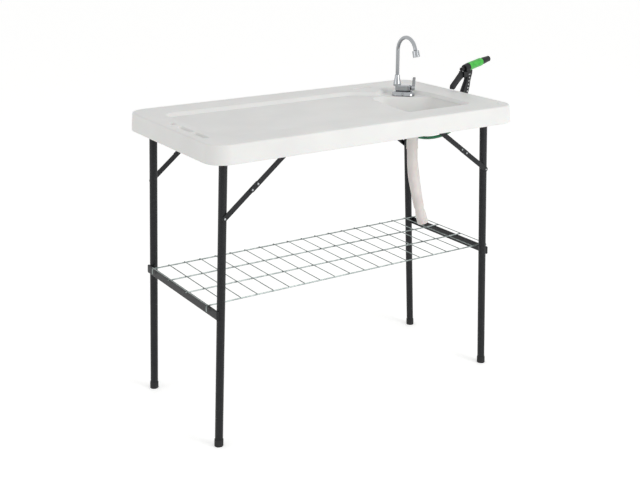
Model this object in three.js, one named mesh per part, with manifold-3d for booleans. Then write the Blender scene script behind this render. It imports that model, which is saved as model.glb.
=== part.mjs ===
// Folding camp sink stand: a moulded tabletop with a sunken work panel and a wash basin, two folding
// leg frames with jointed braces, a wire shelf, a swivel tap, a drain hose and a spray gun in a holder.
// Millimetres, +Z up. X runs along the table towards the basin, and Y runs to the tap side.
import * as THREE from 'three';
import { mergeVertices } from 'three/addons/utils/BufferGeometryUtils.js';
import Module from 'manifold-3d';

const wasm = await Module();
wasm.setup();

// Driving dimensions of the tabletop
const tableHeight = 940;
const tableLength = 1108;
const tableWidth = 604;
const rimHeight = 57;
const rimDraft = 4.4;
const rimEdgeRadius = 6;
const tableCornerRadius = 62;
const skirtThickness = 20;
const panelThickness = 12;
const recessDepth = 14;
const recessWallRun = 10;
const recessHalfWidth = 205;
const recessLeftMargin = 76;
const recessRightMargin = 107;
const recessCornerRadius = 42;
const noseInset = 250;
const noseY = 136;
const noseRadius = 10;
const basinLeftInset = 338;
const basinRightInset = 116;
const basinFrontY = -190;
const basinBackRightY = 8;
const basinBackLeftInset = 296;
const basinBackLeftY = 160;
const basinDepth = 80;
const basinWall = 4;
const basinWallRun = 24;
const basinFloorRound = 12;
const basinCornerRadius = 48;
const slotRowMargin = 41;
const slotWidth = 16;
const slotDepth = 9;
const slotTaper = 4;
const slotEndShares = [[-0.63, -0.36], [-0.315, -0.035], [0.065, 0.165]];
const dishInset = 250;
const dishCentreY = 222;
const dishLength = 78;
const dishWidth = 20;
const dishDepth = 4;
const pipMarkInsetX = 50;
const pipMarkInsetY = 48;
const pipMarkRadius = 5;
const pipMarkDepth = 1.5;

// Driving dimensions of the leg frames
const legRadius = 12.5;
const tubeWall = 1.2;
const legSideMargin = 81;
const frameStagger = 27.5;
const pivotInset = 66;
const footSpread = 44;
const leftFoldShare = 88 / 90;
const rightFoldShare = 84 / 90;
const capRadius = 14;
const capHeight = 22;
const capFloor = 4;
const legTopRise = 4;
const topBarRadius = 11;
const crossbarHeightZ = 423;
const crossbarTall = 27;
const crossbarThick = 8;
const crossbarOffset = 14.5;

// Driving dimensions of the hinges and braces
const hingeRingWall = 3;
const hingePlateThick = 2.6;
const hingePlateLength = 58;
const hingeWidth = 24;
const hingeInset = 46;
const linkWidth = 16;
const linkThick = 2.4;
const layerGap = 0.4;
const braceLegReach = 182;
const bracePivotInset = 196;
const rivetRadius = 3;
const rivetHeadRadius = 5.5;
const rivetHeadHeight = 1.8;
const linkLap = 32;
const bracketPlateLength = 44;
const bracketPlateWidth = 22;

// Driving dimensions of the wire shelf
const wireRadius = 2.2;
const crossWireRadius = 1.6;
const shelfSideGap = 4.75;
const railTipOverhang = 5;
const crossWireCount = 20;
const leftWireReach = -3;
const rightWireReach = 3;
const leftHookDrop = 18;
const leftHookGap = 2.4;
const rightHookDrop = 9;
const rightHookGap = 10;

// Driving dimensions of the drain
const drainInset = 232;
const drainY = -45;
const drainBore = 13.5;
const drainTailRadius = 16;
const drainTailLength = 42;
const drainFlangeRadius = 34;
const drainFlangeThick = 2.5;
const drainNutRadius = 30;
const drainNutHeight = 12;
const gasketThick = 2;
const strainerRadius = 24;
const strainerDepth = 14;
const hoseRadius = 18;
const hoseWall = 2;
const cuffRadius = 20.5;
const cuffLength = 36;
const ribPitch = 6;
const ribDepth = 1.4;

// Driving dimensions of the tap
const tapInset = 171;
const tapY = 91;
const tapTurnShare = -45 / 90;
const tapBaseLength = 78;
const tapBaseWidth = 44;
const tapBaseThick = 5;
const tapBodyLength = 56;
const tapBodyWidth = 30;
const tapBodyHeight = 20;
const spoutAlong = -22;
const spoutRadius = 6.5;
const spoutRise = 188;
const spoutReach = 98;
const socketRadius = 13;
const socketHeight = 34;
const aeratorRadius = 11.6;
const aeratorLength = 24;
const leverHeight = 38;
const leverWidth = 7;
const leverThick = 10;
const leverLean = 2;
const shankRadius = 9;
const shankLength = 44;
const deckNutRadius = 19;
const deckNutHeight = 12;

// Driving dimensions of the spray gun and its holder
const gunReach = 20;
const gunY = 5;
const gunRise = 15;
const gunTurnShare = 12 / 90;
const gripHeight = 113;
const gripLean = 29;
const gripLength = 28;
const gripWidth = 21;
const barrelRadius = 14;
const barrelRearU = 27;
const barrelRearH = 118.5;
const barrelFrontU = 97.5;
const barrelFrontH = 128.5;
const nozzleLength = 44;
const nozzleTipRadius = 10;
const gunLeverReach = 60;
const gunLeverWidth = 15;
const gunLeverThick = 12;
const gunPinU = 19.4;
const gunPinH = 94.5;
const gunPinRadius = 2.6;
const connectorRadius = 13;
const connectorLength = 38;
const nippleRadius = 7.6;
const nippleLength = 16;
const hoseSlimRadius = 5.5;
const holderRingWall = 4;
const holderRingHeight = 14;
const holderPlateThick = 3;
const holderPlateWidth = 46;
const holderPlateHeight = 34;

const seatGap = 0.3;
const runGap = 0.5;
const overrun = 20;
const mergeReach = 1e-4;
const lipRound = 2.4;
const tightestShare = 0.3;
const roundEndShare = 0.49;
const arcSteps = 7;
const roundSides = 16;
const quarterTurn = Math.PI / 2;

// Levels and places worked out from the driving dimensions
const rimBottomZ = tableHeight - rimHeight;
const recessZ = tableHeight - recessDepth;
const panelUnderZ = recessZ - panelThickness;
const recessLeftX = -tableLength / 2 + recessLeftMargin;
const recessRightX = tableLength / 2 - recessRightMargin;
const noseX = tableLength / 2 - noseInset;
const basinLeftX = tableLength / 2 - basinLeftInset;
const basinRightX = tableLength / 2 - basinRightInset;
const basinBackLeftX = tableLength / 2 - basinBackLeftInset;
const slotRowX = -tableLength / 2 + slotRowMargin;
const slotEnds = slotEndShares.map((ends) => ends.map((share) => (share * tableWidth) / 2));
const dishCentreX = tableLength / 2 - dishInset;
const drainX = tableLength / 2 - drainInset;
const tapX = tableLength / 2 - tapInset;
const spoutTopZ = tableHeight + spoutRise;
const gunX = tableLength / 2 + gunReach;
const gunBaseZ = rimBottomZ + gunRise;
const legSpacing = tableWidth - 2 * legSideMargin;
const pivotHalfSpan = tableLength / 2 - pivotInset;
const footHalfSpan = pivotHalfSpan + footSpread;
const shelfHalfWidth = (legSpacing - frameStagger) / 2 - legRadius - shelfSideGap;
const basinFloorZ = tableHeight - basinDepth;
const pivotZ = panelUnderZ - hingePlateThick + seatGap - hingeRingWall - topBarRadius - runGap;
const splay = Math.atan2(footHalfSpan - pivotHalfSpan, pivotZ);
const crossbarReach = (pivotZ - crossbarHeightZ) / Math.cos(splay);

// Colours
const plastic = { color: 0xe9e9e6, roughness: 0.55, metalness: 0 };
const hammertone = { color: 0x3b3c3f, roughness: 0.45, metalness: 0.6 };
const blackRubber = { color: 0x1b1b1c, roughness: 0.8, metalness: 0 };
const zinc = { color: 0xb9c2c4, roughness: 0.3, metalness: 0.9 };
const chrome = { color: 0xd9dcdf, roughness: 0.08, metalness: 1 };
const blackPlastic = { color: 0x17181a, roughness: 0.5, metalness: 0 };
const greenPlastic = { color: 0x45b035, roughness: 0.4, metalness: 0 };
const darkGreenHose = { color: 0x0b5a33, roughness: 0.5, metalness: 0 };
const hoseBeige = { color: 0xe4e0d8, roughness: 0.6, metalness: 0 };
const steel = { color: 0x9a9da0, roughness: 0.35, metalness: 0.9 };

// A closed geometry whose shared corners are merged becomes a solid that faces outwards
function solidOf(geometry) {
  const bare = geometry.clone();
  bare.deleteAttribute('normal');
  bare.deleteAttribute('uv');
  const merged = mergeVertices(bare, mergeReach);
  const places = new Float32Array(merged.attributes.position.array);
  const corners = [];
  let volume = 0;
  for (let face = 0; face < merged.index.count; face += 3) {
    const [a, b, c] = [0, 1, 2].map((step) => merged.index.getX(face + step));
    if (a !== b && b !== c && c !== a) {
      corners.push(a, b, c);
      const [p, q, r] = [a, b, c].map((at) => new THREE.Vector3().fromArray(places, 3 * at));
      volume += p.dot(q.cross(r));
    }
  }
  const facing = volume < 0 ? corners.reverse() : corners;
  return new wasm.Manifold(new wasm.Mesh({ numProp: 3, vertProperties: places, triVerts: new Uint32Array(facing) }));
}

function geometryOf(solid) {
  const mesh = solid.getMesh();
  const geometry = new THREE.BufferGeometry();
  geometry.setAttribute('position', new THREE.BufferAttribute(new Float32Array(mesh.vertProperties), 3));
  geometry.setIndex(new THREE.BufferAttribute(new Uint32Array(mesh.triVerts), 1));
  return geometry;
}

function joined(...geometries) {
  return geometryOf(geometries.map(solidOf).reduce((whole, next) => whole.add(next)));
}

function cut(geometry, ...tools) {
  return geometryOf(tools.map(solidOf).reduce((whole, next) => whole.subtract(next), solidOf(geometry)));
}

// Outlines: a polygon whose corners are rounded by arcs, all with the same number of points
function roundedPolygon(corners, steps = arcSteps) {
  const points = [];
  corners.forEach(([x, y, radius], index) => {
    const [px, py] = corners[(index + corners.length - 1) % corners.length];
    const [nx, ny] = corners[(index + 1) % corners.length];
    const corner = new THREE.Vector2(x, y);
    const back = new THREE.Vector2(px, py).sub(corner).normalize();
    const ahead = new THREE.Vector2(nx, ny).sub(corner).normalize();
    const half = Math.acos(THREE.MathUtils.clamp(back.dot(ahead), -1, 1)) / 2;
    const middle = back.clone().add(ahead).normalize();
    const centre = corner.clone().addScaledVector(middle, radius / Math.sin(half));
    const start = corner.clone().addScaledVector(back, radius / Math.tan(half)).sub(centre);
    const sweep = Math.PI - 2 * half;
    const way = Math.sign(ahead.x * back.y - ahead.y * back.x);
    for (let step = 0; step <= steps; step += 1) {
      points.push(start.clone().rotateAround(new THREE.Vector2(), (way * sweep * step) / steps).add(centre));
    }
  });
  return points;
}

// The same polygon with every edge moved inwards, or outwards where the inset is negative
function insetCorners(corners, inset) {
  const count = corners.length;
  const edges = corners.map(([x, y], index) => {
    const [nx, ny] = corners[(index + 1) % count];
    const along = new THREE.Vector2(nx - x, ny - y).normalize();
    const normal = new THREE.Vector2(-along.y, along.x);
    return { point: new THREE.Vector2(x, y).addScaledVector(normal, inset), along };
  });
  return corners.map(([x, y, radius], index) => {
    const before = edges[(index + count - 1) % count];
    const after = edges[index];
    const gap = after.point.clone().sub(before.point);
    const share = gap.cross(after.along) / before.along.cross(after.along);
    const place = before.point.clone().addScaledVector(before.along, share);
    const [px, py] = corners[(index + count - 1) % count];
    const [nx, ny] = corners[(index + 1) % count];
    const turn = (x - px) * (ny - y) - (y - py) * (nx - x);
    return [place.x, place.y, Math.max(radius - Math.sign(turn) * inset, radius * tightestShare)];
  });
}

function rectangleCorners(lowX, lowY, highX, highY, radius) {
  return [[lowX, lowY, radius], [highX, lowY, radius], [highX, highY, radius], [lowX, highY, radius]];
}

// A closed skin through rings of matching points, each ring a list of Vector3
function loft(rings) {
  const count = rings[0].length;
  const positions = rings.flat().flatMap((point) => [point.x, point.y, point.z]);
  const index = [];
  for (let ring = 0; ring + 1 < rings.length; ring += 1) {
    for (let side = 0; side < count; side += 1) {
      const next = (side + 1) % count;
      const low = ring * count;
      const high = low + count;
      index.push(low + side, low + next, high + next, low + side, high + next, high + side);
    }
  }
  const flat = rings[0].map((point) => new THREE.Vector2(point.x, point.y));
  const last = (rings.length - 1) * count;
  const lastFlat = rings.at(-1).map((point) => new THREE.Vector2(point.x, point.y));
  THREE.ShapeUtils.triangulateShape(flat, []).forEach(([a, b, c]) => index.push(a, c, b));
  THREE.ShapeUtils.triangulateShape(lastFlat, []).forEach(([a, b, c]) => index.push(last + a, last + b, last + c));
  const geometry = new THREE.BufferGeometry();
  geometry.setAttribute('position', new THREE.Float32BufferAttribute(positions, 3));
  geometry.setIndex(index);
  return geometry;
}

// Rings of one outline at rising heights: levels are pairs of height and inset
function loftOutline(corners, levels) {
  return loft(levels.map(([z, inset]) => roundedPolygon(insetCorners(corners, inset))
    .map((point) => new THREE.Vector3(point.x, point.y, z))));
}

function cylinder(radius, length, sides = roundSides, topRadius = radius) {
  return new THREE.CylinderGeometry(topRadius, radius, length, sides).rotateX(quarterTurn);
}

// A cylinder between two points
function rod(from, to, radius, sides = roundSides, endRadius = radius) {
  const geometry = new THREE.CylinderGeometry(endRadius, radius, from.distanceTo(to), sides);
  const along = to.clone().sub(from).normalize();
  geometry.applyQuaternion(new THREE.Quaternion().setFromUnitVectors(new THREE.Vector3(0, 1, 0), along));
  const middle = from.clone().add(to).multiplyScalar(0.5);
  return geometry.translate(middle.x, middle.y, middle.z);
}

function box(lowX, highX, lowY, highY, lowZ, highZ) {
  return new THREE.BoxGeometry(highX - lowX, highY - lowY, highZ - lowZ)
    .translate((lowX + highX) / 2, (lowY + highY) / 2, (lowZ + highZ) / 2);
}

// A turned piece about Z from pairs of radius and height
function turned(pairs, sides = roundSides, isRing = false) {
  const profile = isRing ? [...pairs, pairs[0]] : pairs;
  return new THREE.LatheGeometry(profile.map(([r, z]) => new THREE.Vector2(r, z)), sides).rotateX(quarterTurn);
}

// An outline in the XZ plane given depth along Y, centred on middleY
function slab(shape, thickness, middleY, bevel = 0) {
  const geometry = new THREE.ExtrudeGeometry(shape, {
    depth: thickness - 2 * bevel,
    bevelEnabled: bevel > 0,
    bevelSize: bevel,
    bevelThickness: bevel,
    bevelOffset: -bevel,
    bevelSegments: 2,
    curveSegments: arcSteps,
  });
  return geometry.rotateX(quarterTurn).translate(0, middleY + thickness / 2 - bevel, 0);
}

// A tube swept along a curve, solid or with a bore
function sweptTube(curve, radius, steps, sides = 12) {
  const section = new THREE.Shape();
  for (let side = 0; side < sides; side += 1) {
    const angle = (side / sides) * 2 * Math.PI;
    section[side === 0 ? 'moveTo' : 'lineTo'](radius * Math.cos(angle), radius * Math.sin(angle));
  }
  section.closePath();
  return new THREE.ExtrudeGeometry(section, { steps, extrudePath: curve, bevelEnabled: false });
}

const stand = new THREE.Group();

function addPiece(name, geometry, finish, parent = stand) {
  geometry.computeVertexNormals();
  const piece = new THREE.Mesh(geometry, new THREE.MeshStandardMaterial(finish));
  piece.name = name;
  parent.add(piece);
  return piece;
}

const vector = (x, y, z) => new THREE.Vector3(x, y, z);

// The moulded tabletop: rounded rim, sunken work panel, basin, tool slots, soap dish and drilled holes
function tabletop() {
  const outer = rectangleCorners(-tableLength / 2, -tableWidth / 2, tableLength / 2, tableWidth / 2, tableCornerRadius);
  const edgeSteps = [0, 1, 2, 3].map((step) => (step / 3) * quarterTurn);
  const body = loftOutline(outer, [
    [rimBottomZ, lipRound / 2],
    [rimBottomZ + lipRound / 2, 0],
    ...edgeSteps.map((angle) => [
      tableHeight - rimEdgeRadius * (1 - Math.sin(angle)),
      rimDraft + rimEdgeRadius * (1 - Math.cos(angle)),
    ]),
  ]);
  const hollow = loftOutline(outer, [[rimBottomZ - overrun, skirtThickness], [panelUnderZ, skirtThickness + lipRound / 2]]);
  const recess = loftOutline(recessCorners, [
    [recessZ, recessWallRun + lipRound],
    [recessZ + lipRound / 2, recessWallRun],
    [tableHeight - lipRound, lipRound],
    [tableHeight, -lipRound / 2],
    [tableHeight + overrun, -lipRound / 2],
  ]);
  const basin = loftOutline(basinCorners, [
    [basinFloorZ, basinWallRun + basinFloorRound],
    [basinFloorZ + basinFloorRound * floorCurveShares[0], basinWallRun + basinFloorRound * floorCurveShares[1]],
    [basinFloorZ + basinFloorRound, basinWallRun],
    [recessZ - lipRound, lipRound / 2],
    [recessZ, -lipRound / 2],
    [recessZ + lipRound, -lipRound / 2],
  ]);
  const basinShell = loftOutline(basinCorners, [
    [basinFloorZ - basinWall, basinWallRun + basinFloorRound - basinWall * floorCurveShares[2]],
    [basinFloorZ + basinFloorRound - basinWall, basinWallRun - basinWall],
    [panelUnderZ + basinWall / 2, -basinWall],
  ]);
  const slots = slotEnds.map(([lowY, highY]) => {
    const corners = rectangleCorners(slotRowX - slotWidth / 2, lowY, slotRowX + slotWidth / 2, highY, slotWidth * roundEndShare);
    return loftOutline(corners, [
      [tableHeight - slotDepth, slotTaper],
      [tableHeight - lipRound, lipRound / 2],
      [tableHeight, -lipRound / 2],
      [tableHeight + overrun, -lipRound / 2],
    ]);
  });
  const dishCorners = rectangleCorners(
    dishCentreX - dishLength / 2, dishCentreY - dishWidth / 2,
    dishCentreX + dishLength / 2, dishCentreY + dishWidth / 2, dishWidth * roundEndShare,
  );
  const dish = loftOutline(dishCorners, [
    [tableHeight - dishDepth, dishDepth],
    [tableHeight, 0],
    [tableHeight + overrun, 0],
  ]);
  const pip = cylinder(pipMarkRadius, 2 * pipMarkDepth)
    .translate(tableLength / 2 - pipMarkInsetX, -tableWidth / 2 + pipMarkInsetY, tableHeight);
  const drainHole = cylinder(drainNeckRadius + runGap, 4 * basinWall, 24).translate(drainX, drainY, basinFloorZ);
  const tapHole = cylinder(shankRadius + runGap, 4 * panelThickness).translate(tapX, tapY, recessZ);
  const pilots = screwPlaces.map((y) => rod(
    vector(tableLength / 2 - screwLength, y, screwZ),
    vector(tableLength / 2 + overrun, y, screwZ), screwRadius + seatGap, 8,
  ));
  const shell = joined(cut(body, hollow), basinShell);
  return cut(shell, recess, basin, ...slots, dish, pip, drainHole, tapHole, ...pilots);
}

const floorCurveShares = [0.3, 0.3, 0.6];
const alcoveBackInset = 192;
const alcoveSideInset = 136;
const panelTurnInset = 326;
const recessFrontY = -recessHalfWidth;
const recessBackY = recessHalfWidth - recessWallRun;
const alcoveBackX = tableLength / 2 - alcoveBackInset;
const alcoveBackY = 180;
const alcoveSideX = tableLength / 2 - alcoveSideInset;
const alcoveSideY = 140;
const alcoveEndY = 40;
const alcoveRadius = 22;
const panelTurnX = tableLength / 2 - panelTurnInset;
const panelTurnRadius = 70;
const recessCorners = [
  [recessLeftX, recessFrontY, recessCornerRadius],
  [recessRightX, recessFrontY, recessCornerRadius],
  [recessRightX, alcoveEndY, recessCornerRadius],
  [alcoveSideX, alcoveSideY, recessCornerRadius],
  [alcoveBackX, alcoveBackY, alcoveRadius],
  [noseX, noseY, noseRadius],
  [panelTurnX, recessBackY, panelTurnRadius],
  [recessLeftX, recessBackY, recessCornerRadius],
];
const basinCorners = [
  [basinLeftX, basinFrontY, basinCornerRadius],
  [basinRightX, basinFrontY, basinCornerRadius],
  [basinRightX, basinBackRightY, basinCornerRadius],
  [basinBackLeftX, basinBackLeftY, basinCornerRadius],
];

// Sizes of the drain body, which hangs in the basin's hole by its flange
const drainNeckRadius = 21.5;
const drainNeckLength = 19;
const drainNeckWall = 2;
const drainUnderZ = basinFloorZ - basinWall;
const drainTailZ = basinFloorZ - drainNeckLength - drainTailLength;

// Sizes of the holder's screws
const screwRadius = 1.8;
const screwLength = 14;
const screwHeadRadius = 4;
const screwHeadHeight = 2.4;
const screwPitch = 30;
const screwRise = 25;
const screwZ = rimBottomZ + screwRise;
const screwPlaces = [gunY - screwPitch / 2, gunY + screwPitch / 2];

function drainFlange() {
  return turned([
    [drainNeckRadius - drainNeckWall, basinFloorZ + drainFlangeThick / 2],
    [drainNeckRadius - drainNeckWall, basinFloorZ - drainNeckLength + 2 * drainNeckWall],
    [drainBore, basinFloorZ - drainNeckLength + drainNeckWall],
    [drainBore, drainTailZ],
    [drainTailRadius, drainTailZ],
    [drainTailRadius, basinFloorZ - drainNeckLength],
    [drainNeckRadius, basinFloorZ - drainNeckLength + drainNeckWall],
    [drainNeckRadius, basinFloorZ + seatGap],
    [drainFlangeRadius, basinFloorZ + seatGap],
    [drainFlangeRadius, basinFloorZ + seatGap + drainFlangeThick / 2],
    [drainFlangeRadius - drainFlangeThick, basinFloorZ + seatGap + drainFlangeThick],
    [drainNeckRadius + drainNeckWall / 2, basinFloorZ + seatGap + drainFlangeThick],
  ], 24, true).translate(drainX, drainY, 0);
}

// A shallow dished strainer with a ring of holes and a lifting knob
function strainer() {
  const rimZ = basinFloorZ + seatGap + drainFlangeThick + seatGap;
  const neck = drainNeckRadius - drainNeckWall - runGap;
  const bowl = turned([
    [0, rimZ - strainerDepth],
    [neck * strainerFloorShare, rimZ - strainerDepth],
    [neck - strainerWall, rimZ - strainerDepth / 2],
    [neck - strainerWall, rimZ],
    [strainerRadius, rimZ],
    [strainerRadius, rimZ + strainerWall],
    [neck - 2 * strainerWall, rimZ + strainerWall],
    [neck - 2 * strainerWall, rimZ - strainerDepth / 2],
    [neck * strainerFloorShare, rimZ - strainerDepth + strainerWall],
    [strainerWall, rimZ - strainerDepth + strainerWall],
    [strainerWall, rimZ - strainerDepth / 2],
    [2 * strainerWall, rimZ - strainerDepth / 2 + strainerWall],
    [0, rimZ - strainerDepth / 2 + 2 * strainerWall],
  ]);
  const holes = [];
  for (let index = 0; index < strainerHoles; index += 1) {
    const angle = (index / strainerHoles) * 2 * Math.PI;
    const reach = neck * strainerFloorShare * strainerHoleShare;
    holes.push(cylinder(strainerHoleRadius, strainerDepth, 6)
      .translate(reach * Math.cos(angle), reach * Math.sin(angle), rimZ - strainerDepth));
  }
  return cut(bowl, ...holes).translate(drainX, drainY, 0);
}

const strainerWall = 1.5;
const strainerHoles = 8;
const strainerHoleRadius = 1.7;
const strainerFloorShare = 0.8;
const strainerHoleShare = 0.66;

function ringPiece(inner, outer, lowZ, highZ, sides = 24) {
  return turned([[inner, lowZ], [outer, lowZ], [outer, highZ], [inner, highZ]], sides, true);
}

// A round nut with grip lobes
function lobedNut(bore, radius, height, lobes, lobeSize) {
  const lobeSolids = [];
  for (let index = 0; index < lobes; index += 1) {
    const angle = (index / lobes) * 2 * Math.PI;
    lobeSolids.push(cylinder(lobeSize, height, 8).translate(radius * Math.cos(angle), radius * Math.sin(angle), 0));
  }
  return cut(joined(cylinder(radius, height, 24), ...lobeSolids), cylinder(bore, height + overrun, 24));
}

addPiece('tabletop', tabletop(), plastic);
addPiece('drain_flange', drainFlange(), chrome);
addPiece('strainer', strainer(), chrome);
const gasketZ = drainUnderZ - seatGap - gasketThick;
addPiece('drain_gasket', ringPiece(drainNeckRadius + runGap, drainNutRadius, gasketZ, gasketZ + gasketThick)
  .translate(drainX, drainY, 0), blackRubber);
addPiece('drain_nut', lobedNut(drainNeckRadius + runGap, drainNutRadius - lipRound, drainNutHeight, 6, lipRound * 2)
  .translate(drainX, drainY, gasketZ - seatGap - drainNutHeight / 2), plastic);

// The ribbed drain hose, with a smooth cuff at each end, on its hanging route
const hoseEndClearance = 82;
const hoseGripLength = 37;
const hoseSway = 56;
const hoseStartShares = [1, 0.43, -0.054];
const hoseBendShares = [
  [0.018, 0.082], [0.089, 0.312], [0.196, 0.452], [0.446, 0.637], [0.571, 0.733], [0.786, 0.87], [1, 1],
];
const hoseDrop = drainTailZ - crossbarHeightZ - hoseEndClearance;
const drainRoute = new THREE.CatmullRomCurve3([
  ...hoseStartShares.map((share) => vector(drainX, drainY, drainTailZ + share * hoseGripLength)),
  ...hoseBendShares.map(([out, fall]) => vector(drainX + out * hoseSway, drainY, drainTailZ - fall * hoseDrop)),
]);

function ribbedHose() {
  const length = drainRoute.getLength();
  const frames = [];
  const outerRing = (distance, radius) => frames.push([distance, radius]);
  outerRing(0, cuffRadius);
  outerRing(topCuffLength, cuffRadius);
  const ribsStart = topCuffLength + ribPitch;
  const ribsEnd = length - cuffLength - ribPitch;
  const ribs = Math.round((ribsEnd - ribsStart) / ribPitch);
  for (let rib = 0; rib < ribs; rib += 1) {
    const place = ribsStart + (rib * (ribsEnd - ribsStart)) / ribs;
    outerRing(place, hoseRadius - ribDepth);
    outerRing(place + ribPitch / 2, hoseRadius);
  }
  outerRing(ribsEnd, hoseRadius - ribDepth);
  outerRing(length - cuffLength, endCuffRadius);
  outerRing(length, endCuffRadius);
  const tailBore = (drainTailRadius + runGap) / Math.cos(Math.PI / hoseSides);
  const hoseBore = hoseRadius - ribDepth - hoseWall;
  const boreFrames = [[0, tailBore], [topCuffLength * boreShares[0], tailBore], [topCuffLength * boreShares[1], hoseBore]];
  for (let rib = boreRibs; rib < ribs; rib += boreRibs) {
    boreFrames.push([ribsStart + (rib * (ribsEnd - ribsStart)) / ribs, hoseBore]);
  }
  boreFrames.push([length, hoseBore]);
  boreFrames.reverse();
  const side = vector(0, 1, 0);
  const ringAt = ([distance, radius]) => {
    const share = distance / length;
    const centre = drainRoute.getPointAt(share);
    const tangent = drainRoute.getTangentAt(share);
    const across = side.clone().cross(tangent).normalize();
    return Array.from({ length: hoseSides }, (_, index) => {
      const angle = (index / hoseSides) * 2 * Math.PI;
      return centre.clone()
        .addScaledVector(across, radius * Math.cos(angle))
        .addScaledVector(side, radius * Math.sin(angle));
    });
  };
  return geometryOf(solidOf(closedSkin([...frames, ...boreFrames].map(ringAt))));
}

// A skin through rings that closes on itself, from the last ring back to the first
function closedSkin(rings) {
  const count = rings[0].length;
  const positions = rings.flat().flatMap((point) => [point.x, point.y, point.z]);
  const index = [];
  rings.forEach((_, ring) => {
    const low = ring * count;
    const high = ((ring + 1) % rings.length) * count;
    for (let side = 0; side < count; side += 1) {
      const next = (side + 1) % count;
      index.push(low + side, low + next, high + next, low + side, high + next, high + side);
    }
  });
  const geometry = new THREE.BufferGeometry();
  geometry.setAttribute('position', new THREE.Float32BufferAttribute(positions, 3));
  geometry.setIndex(index);
  return geometry;
}

const topCuffLength = 62;
const endCuffRadius = 19.6;
const boreRibs = 5;
const boreShares = [0.68, 0.94];
const hoseSides = 8;
addPiece('drain_hose', ribbedHose(), hoseBeige);

// The tap stands on the corner deck, turned to face the basin
const tap = new THREE.Group();
tap.position.set(tapX, tapY, recessZ);
tap.rotation.z = tapTurnShare * quarterTurn;
stand.add(tap);

const tapGasketThick = 1.5;
const tapBaseDome = 9;
const tapBodyEdge = 3;
const domeShares = [0.6, 0.8, 1.8];
const socketShares = [0.2, 0.72, 0.7];
const tapBaseZ = seatGap + tapGasketThick + seatGap;
const tapBodyZ = tapBaseZ + tapBaseHeight() + seatGap;
const tapBodyTopZ = tapBodyZ + tapBodyHeight;
const spoutBaseZ = tapBodyTopZ + seatGap;
const hubThick = 11;
const hubRadius = 9.6;

function tapBaseHeight() {
  return tapBaseThick + tapBaseDome;
}

function tapOutline(length, width, inset, levels) {
  const corners = rectangleCorners(-length / 2, -width / 2, length / 2, width / 2, width * roundEndShare);
  return loftOutline(corners, levels.map(([z, more]) => [z, inset + more]));
}

function tapBase() {
  const dome = tapOutline(tapBaseLength, tapBaseWidth, 0, [
    [tapBaseZ, 0],
    [tapBaseZ + tapBaseThick, tapBaseThick / 4],
    [tapBaseZ + tapBaseThick + tapBaseDome * domeShares[0], tapBaseThick * domeShares[1]],
    [tapBaseZ + tapBaseHeight(), tapBaseThick * domeShares[2]],
  ]);
  const badgeScrew = new THREE.SphereGeometry(tapBaseThick, 12, 8)
    .translate(0, -tapBaseWidth / 2 + tapBaseThick / 2, tapBaseZ + tapBaseThick);
  const hole = cylinder(shankRadius + runGap, 4 * tapBaseHeight()).translate(0, 0, tapBaseZ);
  return cut(joined(dome, badgeScrew), hole);
}

function tapBody() {
  const bar = tapOutline(tapBodyLength, tapBodyWidth, 0, [
    [tapBodyZ, tapBodyEdge],
    [tapBodyZ + tapBodyEdge, 0],
    [tapBodyTopZ - tapBodyEdge, 0],
    [tapBodyTopZ, tapBodyEdge],
  ]);
  const socket = turned([
    [0, tapBodyTopZ - tapBodyEdge],
    [socketRadius, tapBodyTopZ - tapBodyEdge],
    [socketRadius, tapBodyTopZ + socketHeight * socketShares[0]],
    [socketRadius * socketShares[1], tapBodyTopZ + socketHeight * socketShares[2]],
    [spoutRadius + runGap + tubeWall, tapBodyTopZ + socketHeight],
    [0, tapBodyTopZ + socketHeight],
  ]).translate(spoutAlong, 0, 0);
  const bore = cylinder(spoutRadius + runGap, 2 * socketHeight).translate(spoutAlong, 0, spoutBaseZ + socketHeight);
  return cut(joined(bar, socket), bore);
}

// The lever turns about the bar's own axis and stands up at rest
function tapLever() {
  const startX = tapBodyLength / 2 + runGap;
  const axisZ = tapBodyZ + tapBodyHeight / 2;
  const hub = rod(vector(startX, 0, axisZ), vector(startX + hubThick, 0, axisZ), hubRadius, 20, hubRadius - lipRound);
  const blade = new THREE.Shape();
  blade.moveTo(startX + hubThick - leverThick, axisZ);
  blade.lineTo(startX + hubThick, axisZ);
  blade.lineTo(startX + hubThick + leverLean, axisZ + leverHeight - leverLean);
  blade.quadraticCurveTo(
    startX + hubThick - leverThick / 2 + leverLean, axisZ + leverHeight + leverLean,
    startX + hubThick - leverThick + leverLean, axisZ + leverHeight - leverLean,
  );
  blade.closePath();
  return joined(hub, slab(blade, leverWidth, 0));
}

addPiece('tap_gasket', cut(tapOutline(tapBaseLength, tapBaseWidth, tapBodyEdge / 3, [
  [seatGap, 0],
  [seatGap + tapGasketThick, 0],
]), cylinder(shankRadius + runGap, 4 * tapBaseHeight())), blackRubber, tap);
addPiece('tap_base', tapBase(), chrome, tap);
addPiece('tap_body', tapBody(), chrome, tap);
addPiece('tap_lever', tapLever(), chrome, tap);

// The gooseneck: a straight riser, a round arch towards the front and a turned-down end
const archRadius = spoutReach / 2;
const archSweep = 165 / 180;
const archSteps = 20;
const spoutTurn = -quarterTurn - tap.rotation.z;
const riserTopZ = spoutTopZ - recessZ - archRadius;
const gooseneck = [vector(0, 0, spoutBaseZ)];
for (let step = 0; step <= archSteps; step += 1) {
  const angle = (step / archSteps) * archSweep * Math.PI;
  gooseneck.push(vector(archRadius * (1 - Math.cos(angle)), 0, riserTopZ + archRadius * Math.sin(angle)));
}
const spoutEnd = gooseneck.at(-1);
const spoutEndWay = spoutEnd.clone().sub(gooseneck.at(-2)).normalize();
const spoutGroup = new THREE.Group();
spoutGroup.position.set(spoutAlong, 0, 0);
spoutGroup.rotation.z = spoutTurn;
tap.add(spoutGroup);

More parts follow.
